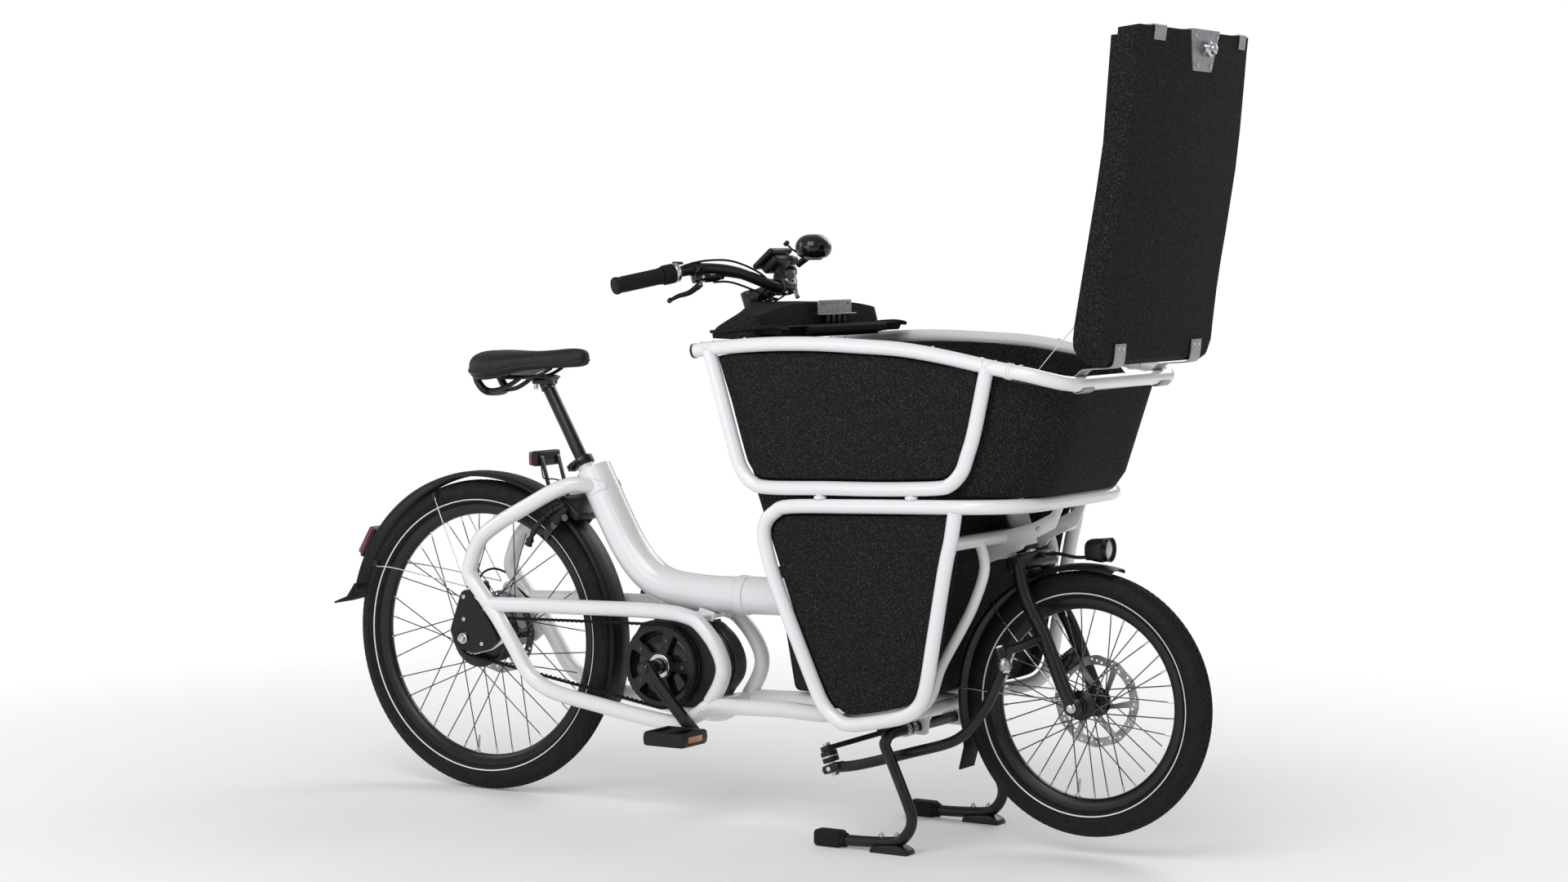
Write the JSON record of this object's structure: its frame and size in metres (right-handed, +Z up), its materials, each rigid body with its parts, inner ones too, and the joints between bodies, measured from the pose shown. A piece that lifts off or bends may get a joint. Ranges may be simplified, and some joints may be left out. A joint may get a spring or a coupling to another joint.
{
  "type": "cargo bicycle",
  "caption": "Two-wheel front-box cargo bicycle with a hinged foam box lid, rod steering, belt drive, disc brakes and a double kickstand.",
  "frame": {"origin": "on the ground under the middle of the overall length, on the centre plane", "axes": "+X forward, +Y to the rider's left, +Z up"},
  "size_m": [2.088, 0.682, 1.5736],
  "materials": {
    "white_paint": "gloss white powder coat",
    "black_paint": "satin black paint",
    "foam": "expanded bead foam with a pale fleck",
    "black_plastic": "moulded black plastic",
    "rubber": "black rubber",
    "tyre": "black tyre rubber with a reflective side line",
    "saddle_skin": "black synthetic leather",
    "steel": "bright steel",
    "grey_plate": "grey coated sheet",
    "red_lens": "dark red lens",
    "headlight": "black body with clear lens"
  },
  "bodies": {
    "frame": {"rear_frame": "white_paint", "front_frame": "white_paint", "upper_loop_right": "white_paint", "upper_loop_left": "white_paint", "top_front_rail": "white_paint", "box_tub": "foam", "box_well": "foam", "rear_cover": "foam", "catch_plate": "grey_plate", "motor": "black_plastic", "battery": "black_plastic", "belt": "rubber", "rear_fender": "black_plastic", "tail_light": "red_lens", "top_light": "black_plastic", "rear_caliper": "black_plastic", "ring_lock": "black_plastic", "seat_clamp": "black_paint"},
    "column": {"steering_column": "black_paint", "stem": "black_paint", "handlebar": "black_paint", "grip_right": "rubber", "grip_left": "rubber", "brake_mount_right": "black_plastic", "brake_mount_left": "black_plastic", "display": "black_plastic", "bell": "black_plastic"},
    "shifter": {"twist_shifter": "black_plastic"},
    "brake_right": {"brake_lever_right": "black_paint"},
    "brake_left": {"brake_lever_left": "black_paint"},
    "rod": {"steering_rod": "black_paint"},
    "fork": {"fork": "black_paint", "front_fender": "black_plastic", "headlight": "headlight", "front_caliper": "black_plastic"},
    "front_wheel": {"front_tyre": "tyre", "front_rim": "black_paint", "front_spokes": "steel", "front_rotor": "steel"},
    "rear_wheel": {"rear_tyre": "tyre", "rear_rim": "black_paint", "rear_spokes": "steel", "rear_rotor": "steel"},
    "pulley": {"rear_pulley": "steel"},
    "crank": {"belt_ring": "black_paint", "crank_right": "black_paint", "crank_left": "black_paint"},
    "pedal_r": {"pedal_right": "black_plastic"},
    "pedal_l": {"pedal_left": "black_plastic"},
    "seat": {"seatpost": "black_paint", "saddle": "saddle_skin"},
    "quick_lever": {"seat_lever": "black_paint"},
    "lid": {"lid": "foam", "hinge_strap_right": "grey_plate", "hinge_strap_left": "grey_plate"},
    "lock": {"lid_lock": "steel"},
    "stand": {"kickstand": "black_paint", "stand_boot_right": "rubber", "stand_boot_left": "rubber"}
  },
  "joints": [
    {"name": "steer", "type": "hinge", "parent": "frame", "child": "column", "pos_m": [0.3335, 0, 0.205], "axis": [-0.342, 0, 0.9397], "range_deg": [-25, 25]},
    {"name": "fork_steer", "type": "hinge", "parent": "frame", "child": "fork", "pos_m": [0.6595, 0, 0.575], "axis": [-0.342, 0, 0.9397], "range_deg": [-25, 25]},
    {"name": "rod_pivot", "type": "hinge", "parent": "column", "child": "rod", "pos_m": [0.30661, -0.15, 0.14732], "axis": [-0.342, 0, 0.9397], "range_deg": [-25, 25]},
    {"name": "front_wheel_spin", "type": "hinge", "parent": "fork", "child": "front_wheel", "pos_m": [0.786, 0, 0.292], "axis": [0, 1, 0], "continuous": true},
    {"name": "rear_wheel_spin", "type": "hinge", "parent": "frame", "child": "rear_wheel", "pos_m": [-0.646, 0, 0.3345], "axis": [0, 1, 0], "continuous": true},
    {"name": "crank_spin", "type": "hinge", "parent": "frame", "child": "crank", "pos_m": [-0.169, 0, 0.304], "axis": [0, 1, 0], "continuous": true},
    {"name": "rear_pulley_spin", "type": "hinge", "parent": "frame", "child": "pulley", "pos_m": [-0.646, 0, 0.3345], "axis": [0, 1, 0], "continuous": true},
    {"name": "pedal_right_spin", "type": "hinge", "parent": "crank", "child": "pedal_r", "pos_m": [-0.05091, 0, 0.18171], "axis": [0, 1, 0], "continuous": true},
    {"name": "pedal_left_spin", "type": "hinge", "parent": "crank", "child": "pedal_l", "pos_m": [-0.28709, 0, 0.42629], "axis": [0, 1, 0], "continuous": true},
    {"name": "seat_height", "type": "slide", "parent": "frame", "child": "seat", "axis": [-0.5, 0, 0.866], "range_m": [-0.1, 0.035]},
    {"name": "seat_lever_swing", "type": "hinge", "parent": "frame", "child": "quick_lever", "pos_m": [-0.41663, -0.015, 0.70274], "axis": [-0.5, 0, 0.866], "range_deg": [-100, 0]},
    {"name": "lid_hinge", "type": "hinge", "parent": "frame", "child": "lid", "pos_m": [0.854, 0, 0.917], "axis": [0, 1, 0], "range_deg": [-88, 0]},
    {"name": "lid_lock_turn", "type": "hinge", "parent": "lid", "child": "lock", "pos_m": [1.00033, 0.042, 1.54049], "axis": [0.9994, 0, 0.0349], "range_deg": [0, 90]},
    {"name": "stand_swing", "type": "hinge", "parent": "frame", "child": "stand", "pos_m": [0.454, 0, 0.232], "axis": [0, 1, 0], "range_deg": [0, 50]},
    {"name": "brake_lever_right_pull", "type": "hinge", "parent": "column", "child": "brake_right", "pos_m": [0.01281, -0.18036, 1.09244], "axis": [0.7802, -0.4774, 0.4042], "range_deg": [-16, 0]},
    {"name": "brake_lever_left_pull", "type": "hinge", "parent": "column", "child": "brake_left", "pos_m": [0.01281, 0.18036, 1.09244], "axis": [-0.7802, -0.4774, -0.4042], "range_deg": [-16, 0]},
    {"name": "gear_twist", "type": "hinge", "parent": "column", "child": "shifter", "pos_m": [-0.02733, -0.22407, 1.11582], "axis": [-0.4761, -0.8597, -0.1852], "range_deg": [-60, 60]}
  ],
  "couplings": [
    {"joint": "fork_steer", "follows": "steer", "ratio": 1},
    {"joint": "rod_pivot", "follows": "steer", "ratio": -1},
    {"joint": "rear_pulley_spin", "follows": "crank_spin", "ratio": 2.0833}
  ]
}
